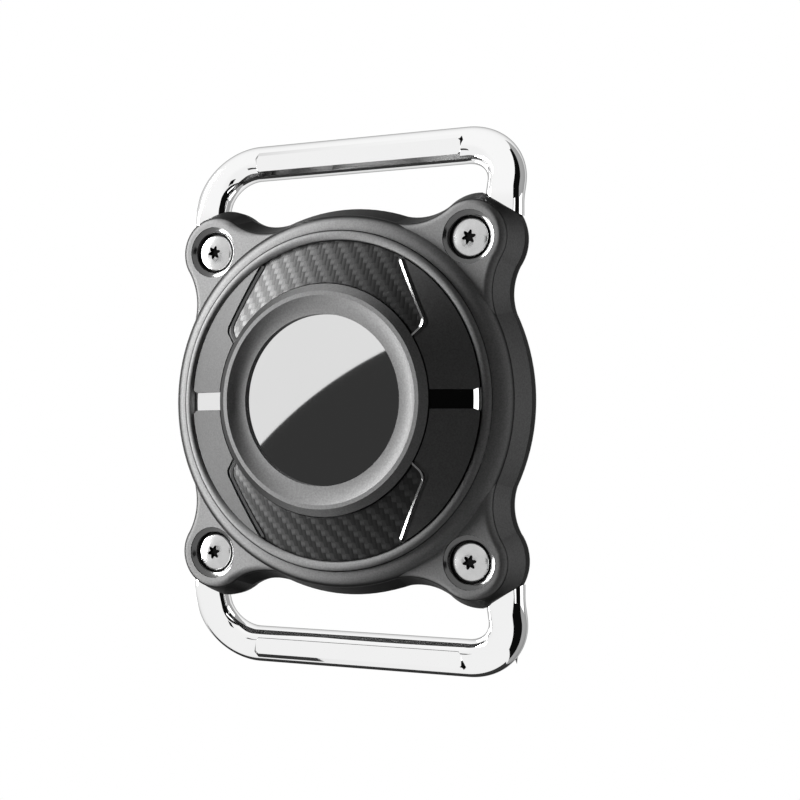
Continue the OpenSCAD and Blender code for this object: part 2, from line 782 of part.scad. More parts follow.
module tag_voice_coil() {
    color([0.72, 0.4, 0.2]) in_tag() ring(coil_d / 2, coil_d / 2 - coil_w, coil_low, coil_low + coil_h);
}

module battery_contacts() {
    base = frame_low + frame_t;
    color([0.8, 0.7, 0.4]) in_tag() {
        for (a = [0, 120, 240]) rotate(a) translate([plate_r + 0.46, -0.9, base]) {
            cube([3, 1.8, contact_t / 2]);
            translate([2, 0, 0]) cube([1, 1.8, contact_t - 0.02]);
        }
        for (a = [90, 210, 330]) rotate(a) translate([cell_d / 2 + 0.05, -spring_w / 2, base]) {
            cube([0.2, spring_w, well_h - 0.2]);
            cube([1.6, spring_w, 0.15]);
        }
    }
}

module coin_cell() {
    color([0.75, 0.76, 0.77]) in_tag() translate([0, 0, cell_low]) {
        cylinder(d = cell_d, h = cell_h - 0.35);
        translate([0, 0, cell_h - 0.36]) cylinder(d = cell_d - 2, h = 0.36);
    }
}

// Steel battery cover with a bayonet skirt of three lugs
module tag_cover() {
    skirt_r = tag_face_r - 1.2;
    low = tag_h - cover_t - cover_skirt;
    color([0.8, 0.81, 0.82]) in_tag() {
        difference() {
            translate([0, 0, low]) cylinder(r = tag_face_r, h = cover_t + cover_skirt);
            translate([0, 0, low - 1]) cylinder(r = skirt_r, h = cover_skirt + 1);
        }
        intersection() {
            ring(tag_face_r + 0.45, tag_face_r - 0.2, low + 0.05, low + 0.65);
            union() for (a = [30, 150, 270]) rotate(a - 12) rotate_extrude(angle = 24) square([tag_r, 2 * tag_h]);
        }
    }
}

rear_cover();
seal_ring();
tag_pad();
threaded_inserts();
top_bail();
bottom_bail();
front_frame();
center_disc();
bezel_ring();
carbon_insert_top();
carbon_insert_bottom();
slot_inlay_left();
slot_inlay_right();
screw_top_left();
screw_top_right();
screw_bottom_left();
screw_bottom_right();
tag_shell();
tag_inner_frame();
tag_circuit_board();
tag_magnet();
tag_voice_coil();
battery_contacts();
coin_cell();
tag_cover();
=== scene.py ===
import json
import math
import bmesh
import bpy
from mathutils import Matrix, Vector


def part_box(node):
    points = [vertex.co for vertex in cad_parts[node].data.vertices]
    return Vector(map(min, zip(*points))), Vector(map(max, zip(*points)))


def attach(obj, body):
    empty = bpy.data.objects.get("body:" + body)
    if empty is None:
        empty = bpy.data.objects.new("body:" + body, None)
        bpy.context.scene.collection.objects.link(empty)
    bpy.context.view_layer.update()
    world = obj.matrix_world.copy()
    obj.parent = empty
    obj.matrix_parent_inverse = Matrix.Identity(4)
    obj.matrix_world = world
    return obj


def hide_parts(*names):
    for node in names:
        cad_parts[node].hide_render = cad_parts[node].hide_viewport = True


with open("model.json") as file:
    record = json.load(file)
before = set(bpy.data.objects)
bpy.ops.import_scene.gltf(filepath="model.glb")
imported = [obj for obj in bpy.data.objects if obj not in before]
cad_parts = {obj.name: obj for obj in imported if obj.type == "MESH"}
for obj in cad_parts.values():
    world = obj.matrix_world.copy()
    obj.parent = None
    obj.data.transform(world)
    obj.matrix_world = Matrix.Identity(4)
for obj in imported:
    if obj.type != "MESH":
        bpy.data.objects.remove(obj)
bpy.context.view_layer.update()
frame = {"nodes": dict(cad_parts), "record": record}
nodes = frame["nodes"]
mm = 0.001
degrees = 180 / math.pi
# where the upper right screw stands, to a hundredth of a millimetre
low, high = (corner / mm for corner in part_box("screw_top_right"))
screwX, screwZ = round((low.x + high.x) / 2, 2), round((low.z + high.z) / 2, 2)
print("frame loaded:", len(nodes), "nodes")


# Shader maths

class Wire:
    # the output of a node, which can be used in sums
    def __init__(self, finish, socket):
        self.finish = finish
        self.socket = socket

    def sum(self, operation, *values):
        return self.finish.add("ShaderNodeMath", {"operation": operation}, dict(enumerate(values)))

    def __add__(self, other):
        return self.sum("ADD", self, other)

    def __radd__(self, other):
        return self.sum("ADD", other, self)

    def __sub__(self, other):
        return self.sum("SUBTRACT", self, other)

    def __rsub__(self, other):
        return self.sum("SUBTRACT", other, self)

    def __mul__(self, other):
        return self.sum("MULTIPLY", self, other)

    def __rmul__(self, other):
        return self.sum("MULTIPLY", other, self)

    def __truediv__(self, other):
        return self.sum("DIVIDE", self, other)

    def __rtruediv__(self, other):
        return self.sum("DIVIDE", other, self)

    def __mod__(self, other):
        return self.sum("FLOORED_MODULO", self, other)

    def __rmod__(self, other):
        return self.sum("FLOORED_MODULO", other, self)

    def __pow__(self, other):
        return self.sum("POWER", self, other)

    def __rpow__(self, other):
        return self.sum("POWER", other, self)

    def atMost(self, other):
        return self.sum("MINIMUM", self, other)

    def atLeast(self, other):
        return self.sum("MAXIMUM", self, other)

    def clipped(self):
        return self.atLeast(0).atMost(1)

    def under(self, other):
        return self.sum("LESS_THAN", self, other)

    def over(self, other):
        return self.sum("GREATER_THAN", self, other)

    def between(self, low, high):
        return self.over(low) * self.under(high)

    def size(self):
        return self.sum("ABSOLUTE", self)

    def floor(self):
        return self.sum("FLOOR", self)

    def angle(self, other):
        return self.sum("ARCTAN2", self, other)

    def arcsine(self):
        return self.sum("ARCSINE", self)

    def wave(self):
        # one arch of a sine for each whole number
        turn = self % 1 * math.pi
        return turn.sum("SINE", turn)


class Finish:
    # one material, or the world, and the methods that add its nodes
    def __init__(self, name, isWorld=False):
        self.material = (bpy.data.worlds if isWorld else bpy.data.materials).new(name)
        self.material.use_nodes = True
        self.tree = self.material.node_tree
        self.tree.nodes.clear()

    def add(self, kind, settings=None, sockets=None, output=0):
        node = self.tree.nodes.new(kind)
        for key, value in (settings or {}).items():
            setattr(node, key, value)
        for key, value in (sockets or {}).items():
            socket = node.inputs[key]
            if isinstance(value, Wire):
                self.tree.links.new(value.socket, socket)
            else:
                socket.default_value = value
        return Wire(self, node.outputs[output]) if node.outputs else None

    def point(self, output="Object"):
        return self.add("ShaderNodeTexCoord", output=output)

    def axes(self, vector):
        split = self.add("ShaderNodeSeparateXYZ", None, {"Vector": vector})
        outputs = split.socket.node.outputs
        return [Wire(self, outputs[axis]) for axis in "XYZ"]

    def noise(self, vector, size, detail=2, rough=0.5):
        return self.add("ShaderNodeTexNoise", {"noise_dimensions": "3D"},
                        {"Vector": vector, "Scale": 1 / size, "Detail": detail, "Roughness": rough})

    def cells(self, vector, size, feature, random=1.0):
        return self.add("ShaderNodeTexVoronoi", {"feature": feature},
                        {"Vector": vector, "Scale": 1 / size, "Randomness": random})

    def mix(self, factor, low, high):
        # factor 0 gives the low colour and 1 the high one
        return self.add("ShaderNodeMix", {"data_type": "RGBA"}, {0: factor, 6: low, 7: high}, 2)

    def ray(self, kind):
        return self.add("ShaderNodeLightPath", output=kind)

    def length(self, *values):
        squares = [value * value for value in values]
        return sum(squares[1:], squares[0]) ** 0.5

    def step(self, value, low, high):
        # 0 under the low limit, 1 over the high one
        return self.add("ShaderNodeMapRange", {"interpolation_type": "SMOOTHSTEP"},
                        {"Value": value, "From Min": low, "From Max": high})

    def spread(self, value, low, high):
        # a value from 0 to 1 spread between two numbers
        return value * (high - low) + low

    def around(self, value, middle, share):
        # a value from 0 to 1 spread to both sides of a number, by a share of it
        return self.spread(value, 1 - share, 1 + share) * middle

    def bump(self, height, depth):
        return self.add("ShaderNodeBump", None, {"Height": height, "Distance": depth, "Strength": 1.0})

    def surface(self, **sockets):
        names = {"colour": "Base Color", "rough": "Roughness", "metal": "Metallic", "normal": "Normal",
                 "coat": "Coat Weight", "coatRough": "Coat Roughness", "ior": "IOR",
                 "specular": "Specular IOR Level", "edgeTint": "Specular Tint"}
        values = {names[key]: value for key, value in sockets.items()}
        shader = self.add("ShaderNodeBsdfPrincipled", None, values)
        self.add("ShaderNodeOutputMaterial", None, {"Surface": shader})
        return self.material


def grey(level, warm=0.0):
    return (level * (1 + warm), level, level * (1 - warm), 1)


# Finishes

satin = {
    "grey": 0.2,
    "speckle": 0.4,  # how far the flakes stray from that grey, as a share of it
    "rough": 0.42,
    "gloss": 0.01,
    "flop": 0.07,  # how dark the flake paint turns when seen along the surface: partly its own flop, partly painted shade
    "flopShadeLimits": (0.25, 0.6),  # where that starts and ends, from 0 head on to 1 edge on
    "grainSize": 0.26 * mm,
    "grainDepth": 0.02 * mm,
    "cloudSize": 6 * mm,
    "roughShare": 0.06,  # how far the roughness strays, as a share of it
}


def satinPaint(name, level, rough=satin["rough"], gloss=satin["gloss"]):
    finish = Finish(name)
    point = finish.point()
    grain = finish.noise(point, satin["grainSize"], 3, 0.6)
    cloud = finish.noise(point, satin["cloudSize"])
    low, high = level * (1 - satin["speckle"]), level * (1 + satin["speckle"])
    # painted shade: the paint is made near black where it is seen edge on, which darkens the shoulders and
    # outlines more than the paint's own flop would
    facing = finish.add("ShaderNodeLayerWeight", None, {"Blend": 0.5}, "Facing")
    flop = finish.step(facing, *satin["flopShadeLimits"])
    flakes = finish.mix(grain, grey(low), grey(high))
    return finish.surface(colour=finish.mix(flop, flakes, grey(level * satin["flop"])),
                          rough=finish.around(cloud, rough, satin["roughShare"]), specular=gloss,
                          normal=finish.bump(grain, satin["grainDepth"]))


weave = {
    "strand": (0.64 * mm, 0.86 * mm),  # width and height of one strand's step
    "twill": 4,  # strands after which the weave starts again
    "greys": (0.01, 0.075),
    "sheenTones": (0.12, 0.92),  # painted sheen: of the upright and the cross strands, from the dark grey to the light one
    "edgeShade": 0.4,  # painted shade: a strand's edges against its middle
    "threads": 4,  # in one strand
    "threadDepth": 0.1,  # against the strand's own
    "slope": 0.03 * mm,
    "grainSize": 0.12 * mm,
    "grainTone": 0.25,
    "rough": (0.55, 0.45),
    "gloss": 0.12,
    "coat": (0.04, 0.25),  # strength and roughness of the lacquer
}


def carbonWeave():
    # a two by two twill, laid out over the front, with painted sheen and painted shade on its strands
    finish = Finish("carbon")
    point = finish.point()
    x, y, z = finish.axes(point)
    u, v = x / weave["strand"][0], z / weave["strand"][1]
    place = (u.floor() + v.floor()) % weave["twill"]
    # 1 where a cross strand lies on top, one half where it dives, 0 where an upright one lies on top
    across = place.under(0.5) + place.between(0.5, 1.5) * 0.5
    side = across * (v % 1) + (1 - across) * (u % 1)
    # painted shade: each strand darkens towards its edges
    crown = finish.spread(side.wave(), weave["edgeShade"], 1)
    ridge = (side * weave["threads"]).wave()
    grain = finish.noise(point, weave["grainSize"])
    # painted sheen: the cross strands are painted lighter than the upright ones, with a random grain on top
    tone = finish.spread(across, *weave["sheenTones"]) * crown + (grain - 0.5) * weave["grainTone"]
    dark, light = weave["greys"]
    coat, coatRough = weave["coat"]
    return finish.surface(colour=finish.mix(tone.clipped(), grey(dark), grey(light)),
                          rough=finish.spread(across, *weave["rough"]),
                          specular=weave["gloss"], coat=coat, coatRough=coatRough,
                          normal=finish.bump(crown + ridge * weave["threadDepth"], weave["slope"]))


bevelFinish = {
    "greys": (0.012, 0.02),
    "rough": 0.15,
    "roughShare": 0.2,
    "ior": 1.9,
    "cloudSize": 2 * mm,
}


def darkBevel():
    # the thin polished edges round the carbon and the screws
    finish = Finish("bevel")
    cloud = finish.noise(finish.point(), bevelFinish["cloudSize"])
    dark, light = bevelFinish["greys"]
    return finish.surface(colour=finish.mix(cloud, grey(dark), grey(light)), ior=bevelFinish["ior"],
                          rough=finish.around(cloud, bevelFinish["rough"], bevelFinish["roughShare"]))


polish = {
    "dark": 0.98,  # the darkest patch against the brightest
    "roughShare": 0.2,
    "edge": 0.35,  # tint at the outlines
    "cloudSize": 4 * mm,
}


def bright(name, level, rough, edge=polish["edge"], cloudSize=polish["cloudSize"]):
    # polished metal that darkens a little at its outlines
    finish = Finish(name)
    cloud = finish.noise(finish.point(), cloudSize, 3)
    return finish.surface(colour=finish.mix(cloud, grey(level * polish["dark"]), grey(level)), metal=1.0,
                          rough=finish.around(cloud, rough, polish["roughShare"]), edgeTint=grey(edge))


screwFinish = {
    "greys": (0.52, 0.64),
    "rough": (0.16, 0.22),
    "recessRadius": 1.16 * mm,  # painted shade: the recess is painted dark inside this radius
    "recessTop": 8.19 * mm,  # and below this depth
    "recessShadeGrey": 0.02,
    "recessRough": 0.4,
    "edge": 0.5,  # tint at the outlines
    "ringPitch": 0.09 * mm,  # turning marks
    "ringDepth": 0.0015 * mm,
    "cloudSize": 1 * mm,
}


def fromScrew(x, z):
    # how far a point lies from its own quarter's screw
    return x.size() - screwX * mm, z.size() - screwZ * mm


def screwSteel():
    # bright on the head, with painted shade in the recess
    finish = Finish("screw")
    point = finish.point()
    x, y, z = finish.axes(point)
    radius = finish.length(*fromScrew(x, z))
    recess = radius.under(screwFinish["recessRadius"]) * y.over(-screwFinish["recessTop"])
    cloud = finish.noise(point, screwFinish["cloudSize"], 3)
    dark, light = screwFinish["greys"]
    steel = finish.mix(cloud, grey(dark), grey(light))
    rough = finish.spread(cloud, *screwFinish["rough"]) + recess * screwFinish["recessRough"]
    rings = (radius / screwFinish["ringPitch"]).wave()
    # painted shade: near black steel inside the recess
    return finish.surface(colour=finish.mix(recess, steel, grey(screwFinish["recessShadeGrey"])),
                          metal=1.0, rough=rough, edgeTint=grey(screwFinish["edge"]),
                          normal=finish.bump(rings, screwFinish["ringDepth"]))


turning = {
    "dark": 0.72,  # the darkest ring against the brightest: turning marks on turned parts, painted shade between the coil's windings
    "ringShare": 0.7,  # of the tone, and the rest is cloud
    "roughShare": 0.15,
    "cloudSize": 1.2 * mm,
}


def ringed(name, colour, rough, pitch, depth):
    # metal that is turned or wound round the case's own axis, darker between its rings, which on the coil is
    # painted shade between the windings
    finish = Finish(name)
    point = finish.point()
    x, y, z = finish.axes(point)
    ring = (finish.length(x, z) / pitch).wave()
    cloud = finish.noise(point, turning["cloudSize"], 3)
    dark = tuple(turning["dark"] * channel for channel in colour[:3]) + (1,)
    tone = ring * turning["ringShare"] + cloud * (1 - turning["ringShare"])
    return finish.surface(colour=finish.mix(tone.clipped(), dark, colour), metal=1.0,
                          rough=finish.around(cloud, rough, turning["roughShare"]),
                          normal=finish.bump(ring, depth))


brass = {
    "dark": (0.4, 0.27, 0.09, 1),
    "light": (0.75, 0.55, 0.25, 1),
    "teeth": 48,  # of the knurl, all round
    "toothHigh": 0.28 * mm,
    "toothDepth": 0.12 * mm,
    "rough": (0.22, 0.34),
    "cloudSize": 1 * mm,
}


def knurledBrass():
    finish = Finish("insert_brass")
    point = finish.point()
    x, y, z = finish.axes(point)
    across, up = fromScrew(x, z)
    turn = across.angle(up) * (brass["teeth"] / (2 * math.pi))
    down = y / brass["toothHigh"]
    cut = (turn + down).wave() * (turn - down).wave()
    cloud = finish.noise(point, brass["cloudSize"])
    # painted shade: the brass is darker down in the knurl's grooves and lighter on its teeth
    return finish.surface(colour=finish.mix(cut, brass["dark"], brass["light"]), metal=1.0,
                          rough=finish.spread(cloud, *brass["rough"]),
                          normal=finish.bump(cut, brass["toothDepth"]))


foam = {
    "greys": (0.025, 0.07),
    "rough": 0.95,
    "gloss": 0.1,
    "cellSize": 0.35 * mm,
    "cellDepth": 0.08 * mm,
}


def foamPad():
    finish = Finish("foam")
    cells = finish.cells(finish.point(), foam["cellSize"], "F1")
    dark, light = foam["greys"]
    # painted shade: the foam is darker down in each cell's pit
    return finish.surface(colour=finish.mix(cells, grey(dark), grey(light)), rough=foam["rough"],
                          specular=foam["gloss"], normal=finish.bump(cells, foam["cellDepth"]))


circuit = {
    "mask": (0.008, 0.06, 0.028, 1),
    "trace": (0.02, 0.14, 0.065, 1),
    "gold": (0.75, 0.55, 0.24, 1),
    "traceSize": 1.7 * mm,
    "traceLimits": (0.03, 0.06),
    "padPitch": 1.3 * mm,
    "padLimits": (0.16, 0.2),  # a pad's radius and where its edge ends, as shares of the pitch
    "padPatch": 2.4 * mm,  # size of the patches that have pads
    "padChance": (0.52, 0.56),
    "rough": (0.32, 0.24),  # of the mask and of the pads
    "traceRise": 0.5,  # against a pad's
    "depth": 0.03 * mm,
}


def circuitBoard():
    finish = Finish("board")
    point = finish.point()
    x, y, z = finish.axes(point)
    edges = finish.cells(point, circuit["traceSize"], "DISTANCE_TO_EDGE", 0.75)
    trace = 1 - finish.step(edges, *circuit["traceLimits"])
    fromPad = finish.length(x / circuit["padPitch"] % 1 - 0.5, z / circuit["padPitch"] % 1 - 0.5)
    chance = finish.step(finish.noise(point, circuit["padPatch"], 0), *circuit["padChance"])
    pad = (1 - finish.step(fromPad, *circuit["padLimits"])) * chance
    mask = finish.mix(trace, circuit["mask"], circuit["trace"])
    return finish.surface(colour=finish.mix(pad, mask, circuit["gold"]), metal=pad,
                          rough=finish.spread(pad, *circuit["rough"]),
                          normal=finish.bump(trace * circuit["traceRise"] + pad, circuit["depth"]))


moulding = {
    "dark": 0.92,  # the darkest patch against the brightest
    "roughShare": 0.1,
    "cloudSize": 1.5 * mm,
    "speckleSize": 0.2 * mm,
    "speckleDepth": 0.01 * mm,
}


def moulded(name, level, rough, speckle=moulding["speckleSize"], warm=0.0, metal=0.0):
    finish = Finish(name)
    point = finish.point()
    cloud = finish.noise(point, moulding["cloudSize"], 3)
    grain = finish.noise(point, speckle)
    dark, light = grey(level * moulding["dark"], warm), grey(level, warm)
    return finish.surface(colour=finish.mix(cloud, dark, light), metal=metal,
                          rough=finish.around(cloud, rough, moulding["roughShare"]),
                          normal=finish.bump(grain, moulding["speckleDepth"]))


finishes = {
    "body": satinPaint("body", satin["grey"]),
    "disc": satinPaint("disc", satin["grey"] * 0.62),
    "bezel": satinPaint("bezel", satin["grey"] * 0.9, 0.34, 0.04),
    "bevel": darkBevel(),
    "carbon": carbonWeave(),
    "inlay": bright("inlay", 0.88, 0.03),
    "bail": bright("bail", 0.94, 0.035),
    "screw": screwSteel(),
    "insert_brass": knurledBrass(),
    "seal": moulded("seal", 0.02, 0.6, 0.12 * mm),
    "foam": foamPad(),
    "tag_white": moulded("tag_white", 0.85, 0.22, 0.4 * mm),
    "tag_plastic": moulded("tag_plastic", 0.7, 0.45),
    "board": circuitBoard(),
    "magnet": ringed("magnet", grey(0.62), 0.25, 0.3 * mm, 0.004 * mm),
    # painted shade between the coil's windings
    "coil": ringed("coil", (0.62, 0.26, 0.1, 1), 0.3, 0.16 * mm, 0.06 * mm),
    "contact": moulded("contact", 0.72, 0.25, 0.15 * mm, 0.22, 1.0),
    "cell": ringed("cell", grey(0.72), 0.26, 0.22 * mm, 0.003 * mm),
    "tag_steel": bright("tag_steel", 0.77, 0.015, 0.8, 12 * mm),
}
slotOf = {part["node"]: part["material_slot"] for part in frame["record"]["subparts"]}
for name, piece in nodes.items():
    piece.data.materials.clear()
    piece.data.materials.append(finishes[slotOf[name]])
print("finishes laid on", len(nodes), "nodes")


# Shapes

def spot(x, z, depth):
    # a point given as the drawings do, in millimetres and with its depth counted forward
    return Vector((x, -depth, z)) * mm


def newPiece(mesh, name, material):
    data = bpy.data.meshes.new(name)
    mesh.to_mesh(data)
    mesh.free()
    data.materials.append(material)
    piece = bpy.data.objects.new(name, data)
    bpy.context.scene.collection.objects.link(piece)
    return piece


def finishPiece(mesh, name, slot, body, replaces=(), crease=34, material=None):
    # edges that bend by more than the crease, in degrees, stay sharp
    bmesh.ops.remove_doubles(mesh, verts=mesh.verts, dist=0.0005 * mm)
    bmesh.ops.recalc_face_normals(mesh, faces=mesh.faces)
    for face in mesh.faces:
        face.smooth = True
    for edge in mesh.edges:
        edge.smooth = edge.is_manifold and edge.calc_face_angle(0) < math.radians(crease)
    piece = newPiece(mesh, name, material or finishes[slot])
    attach(piece, body)
    if replaces:
        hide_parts(*replaces)


def everything(mesh):
    return mesh.verts[:] + mesh.edges[:] + mesh.faces[:]


def parts(found, kind):
    return [part for part in found if isinstance(part, kind)]


def pull(mesh, ring, move):
    # extrudes a loop of edges along a line and returns the new loop
    made = bmesh.ops.extrude_edge_only(mesh, edges=ring)["geom"]
    verts = parts(made, bmesh.types.BMVert)
    bmesh.ops.translate(mesh, verts=verts, vec=move)
    fresh = set(verts)
    return [edge for edge in parts(made, bmesh.types.BMEdge) if fresh.issuperset(edge.verts)]


def swing(mesh, ring, centre, axis, angle, steps):
    # spins a loop of edges by an angle in degrees and returns the last loop
    verts = list({vert for edge in ring for vert in edge.verts})
    made = bmesh.ops.spin(mesh, geom=verts + ring, cent=centre, axis=axis, angle=math.radians(angle),
                          steps=steps, use_merge=False, use_duplicate=False)["geom_last"]
    return parts(made, bmesh.types.BMEdge)


def turned(mesh, profile, x, z, steps):
    # spins a closed profile of radius and depth about a line that runs forward
    verts = [mesh.verts.new(spot(x + radius, z, depth)) for radius, depth in profile]
    edges = [mesh.edges.new(pair) for pair in zip(verts, verts[1:] + verts[:1])]
    bmesh.ops.spin(mesh, geom=verts + edges, cent=spot(x, z, 0), axis=(0, 1, 0), angle=2 * math.pi,
                   steps=steps, use_merge=True, use_duplicate=False)


def block(mesh, low, high):
    # a box between two corners, each given as x, z and depth
    verts = bmesh.ops.create_cube(mesh, size=1)["verts"]
    low, high = spot(*low), spot(*high)
    bmesh.ops.scale(mesh, vec=[abs(b - a) for a, b in zip(low, high)], verts=verts)
    bmesh.ops.translate(mesh, vec=(low + high) / 2, verts=verts)
    return verts


# Bails

bailShape = {
    "legX": 24.55,
    "foot": 26.0,  # where the leg starts, before the lobe's flat cuts it
    "bendZ": 28.1,
    "bendRadius": 5.0,
    "lean": 22.0,  # degrees that the bail leans back
    "middle": 3.0,  # depth of the leg's middle in front of the rear face
    "width": 5.7,
    "thickness": 4.2,
    "roundness": 2.05,
    "cornerRadius": 7.0,
    "barZ": 37.95,
    "flatAngle": 57.7,  # direction of the lobe's flat that the leg stands on
    "flatReach": 6.18,
    "eyeRadii": (3.0, 4.7),
    "eyeDepths": (2.6, 5.4),
    "eyeBevel": 0.2,
    "stem": (3.0, 2.0),  # width and thickness of the strap between leg and eye
    "stemLap": (0.4, 0.6),  # how far it reaches into the eye and into the leg
    "panelHalf": (17.2, 1.21),
    "panelShift": {1: 0.4, -1: -0.05},  # for the top and the bottom bail
    "panelHigh": 2.4,
    "panelSunk": 0.6,  # how far it reaches behind the bar's middle
    "panelBevel": 0.62,
    "panelCorner": 0.806,  # how far its corners are cut
    "panelCore": 0.63,  # half height within which its back stays as it is
    "edgeSteps": 12,
    "bendSteps": 12,
    "cornerSteps": 32,
    "eyeSteps": 64,
}


def bailRise():
    # the lean in radians, and the length of the stretch that leans
    shape = bailShape
    lean = math.radians(shape["lean"])
    return lean, (shape["barZ"] - shape["bendZ"] - shape["bendRadius"] * math.sin(lean)) / math.cos(lean)


def barDepth():
    shape = bailShape
    lean, rise = bailRise()
    return shape["middle"] - shape["bendRadius"] * (1 - math.cos(lean)) - rise * math.sin(lean)


def bailSection(mesh):
    shape = bailShape
    corners = bmesh.ops.create_grid(mesh, x_segments=1, y_segments=1, size=0.5)["verts"]
    bmesh.ops.scale(mesh, vec=(shape["width"] * mm, shape["thickness"] * mm, 1), verts=corners)
    bmesh.ops.bevel(mesh, geom=corners, offset=shape["roundness"] * mm, offset_type="OFFSET",
                    segments=shape["edgeSteps"], profile=0.5, affect="VERTICES", material=-1)
    bmesh.ops.delete(mesh, geom=mesh.faces[:], context="FACES_ONLY")
    bmesh.ops.translate(mesh, verts=mesh.verts, vec=spot(shape["legX"], shape["foot"], shape["middle"]))
    return mesh.edges[:]


def bailTube(mesh):
    # the right half, from the foot over the elbow and the corner to the middle of the bar
    shape = bailShape
    lean, rise = bailRise()
    along = Vector((0, math.sin(lean), math.cos(lean)))
    ring = pull(mesh, bailSection(mesh), Vector((0, 0, shape["bendZ"] - shape["foot"])) * mm)
    hub = spot(0, shape["bendZ"], shape["middle"] - shape["bendRadius"])
    ring = swing(mesh, ring, hub, (-1, 0, 0), shape["lean"], shape["bendSteps"])
    ring = pull(mesh, ring, along * (rise - shape["cornerRadius"]) * mm)
    # the foot is cut along the lobe's flat
    angle = math.radians(shape["flatAngle"])
    away = Vector((math.cos(angle), 0, math.sin(angle)))
    start = spot(screwX, screwZ, 0) + away * shape["flatReach"] * mm
    cut = bmesh.ops.bisect_plane(mesh, geom=everything(mesh), dist=0.0001 * mm, plane_co=start,
                                 plane_no=away, clear_inner=True)["geom_cut"]
    bmesh.ops.holes_fill(mesh, edges=parts(cut, bmesh.types.BMEdge), sides=0)
    halfBar = shape["legX"] - shape["cornerRadius"]
    middle = sum((vert.co for edge in ring for vert in edge.verts), Vector()) / (2 * len(ring))
    middle.x = halfBar * mm
    ring = swing(mesh, ring, middle, Vector((1, 0, 0)).cross(along), 90, shape["cornerSteps"])
    pull(mesh, ring, Vector((-halfBar, 0, 0)) * mm)


def bailEye(mesh):
    # the flat ring that the screw clamps inside the lobe, and the strap that joins it to the leg
    shape = bailShape
    low, high = shape["eyeDepths"]
    inner, outer = shape["eyeRadii"]
    bevel = shape["eyeBevel"]
    turned(mesh, [(inner, low + bevel), (inner + bevel, low), (outer - bevel, low), (outer, low + bevel),
                  (outer, high - bevel), (outer - bevel, high), (inner + bevel, high), (inner, high - bevel)],
           screwX, screwZ, shape["eyeSteps"])
    wide, thick = shape["stem"]
    left, right = outer - shape["stemLap"][0], shape["flatReach"] + shape["stemLap"][1]
    stem = block(mesh, (left, -wide / 2, low), (right, wide / 2, low + thick))
    bmesh.ops.rotate(mesh, verts=stem, cent=(0, 0, 0),
                     matrix=Matrix.Rotation(-math.radians(shape["flatAngle"]), 3, "Y"))
    bmesh.ops.translate(mesh, verts=stem, vec=spot(screwX, screwZ, 0))


def bailPanel(mesh, side):
    # the flat on the front of the bar, with its corners cut and a bevel all round
    shape = bailShape
    depth = barDepth()
    z = shape["barZ"] - shape["panelShift"][side]
    bevel = shape["panelBevel"]
    long, wide = (half + bevel for half in shape["panelHalf"])
    low, high = depth - shape["panelSunk"], depth + shape["panelHigh"]
    verts = block(mesh, (-long, z - wide, low), (long, z + wide, high))
    made = set(verts)
    sides = [edge for edge in mesh.edges if made.issuperset(edge.verts)
             and abs(edge.verts[0].co.y - edge.verts[1].co.y) > mm]
    cut = bmesh.ops.bevel(mesh, geom=sides, offset=shape["panelCorner"] * mm, offset_type="OFFSET",
                          segments=1, profile=0.5, affect="EDGES", material=-1)
    made = {vert for face in cut["faces"] for vert in face.verts} | {vert for vert in verts if vert.is_valid}
    near = 0.01 * mm
    rim = [edge for edge in mesh.edges if made.issuperset(edge.verts)
           and all(abs(vert.co.y + high * mm) < near for vert in edge.verts)]
    bmesh.ops.bevel(mesh, geom=rim, offset=bevel * mm, offset_type="OFFSET", segments=1,
                    profile=0.5, affect="EDGES", material=-1)
    # behind the bevel the sides lean in, so that they end inside the bar
    for vert in mesh.verts:
        above = vert.co.z - z * mm
        if abs(vert.co.y + low * mm) < near and abs(above) > shape["panelCore"] * mm:
            vert.co.z -= math.copysign(2 * bevel * mm, above)


def addBail(name, node, side):
    mesh = bmesh.new()
    bailTube(mesh)
    bailEye(mesh)
    bmesh.ops.mirror(mesh, geom=everything(mesh), matrix=Matrix.Identity(4), merge_dist=0.001 * mm, axis="X")
    bailPanel(mesh, side)
    bmesh.ops.scale(mesh, vec=(1, 1, side), verts=mesh.verts)
    finishPiece(mesh, name, "bail", "rear", [node])


addBail("bright_bail_top", "top_bail", 1)
addBail("bright_bail_bottom", "bottom_bail", -1)
print("bails bent")


# Screws

screwShape = {
    "places": {"top_left": (-screwX, screwZ), "top_right": (screwX, screwZ),
               "bottom_left": (-screwX, -screwZ), "bottom_right": (screwX, -screwZ)},
    "head": 2.8,
    "top": 8.3,
    "seat": 6.91,
    "dome": 8.1,  # radius of the rounded top
    "domeRings": (1.3, 1.6, 1.9, 2.2, 2.5),
    "rimRound": ((0.1, 0.0), (0.03, 0.07), (0.0, 0.2)),  # steps inward and down at the head's edge
    "star": (0.86, 0.22),  # middle radius of the six-lobed recess and how far its lobes reach
    "starDepth": 0.8,
    "starCone": 0.15,  # how far the recess's middle lies below its edge
    "starMiddle": 0.1,  # radius of the flat there
    "starFloor": 0.82,  # share of its size at that depth
    "starTurn": 12,
    "starSteps": ((0.94, 0.08), (1.0, 0.01)),  # share of its size and depth under the dome
    "starFade": (0.5, 0.62, 1.12),  # share of its size, radius added to that, and radius of the dome there
    "core": 1.38,
    "thread": 1.5,
    "threadSunk": 0.05,
    "threadHalf": (0.21, 0.03),  # half height of the ridge at its root and at its crest
    "pitch": 0.5,
    "threadFrom": 2.1,
    "threadTurns": 8,
    "turnSteps": 32,
    "tip": 1.8,
    "tipBevel": 0.4,
    "sides": 96,
}


def growRing(mesh, ring, x, z, reach, depth):
    # extrudes a ring of edges to a new depth and to a radius that may change with the angle
    ring = pull(mesh, ring, Vector())
    for vert in {vert for edge in ring for vert in edge.verts}:
        angle = math.atan2(vert.co.z - z * mm, vert.co.x - x * mm)
        radius = reach(angle)
        vert.co = spot(x + radius * math.cos(angle), z + radius * math.sin(angle), depth)
    return ring


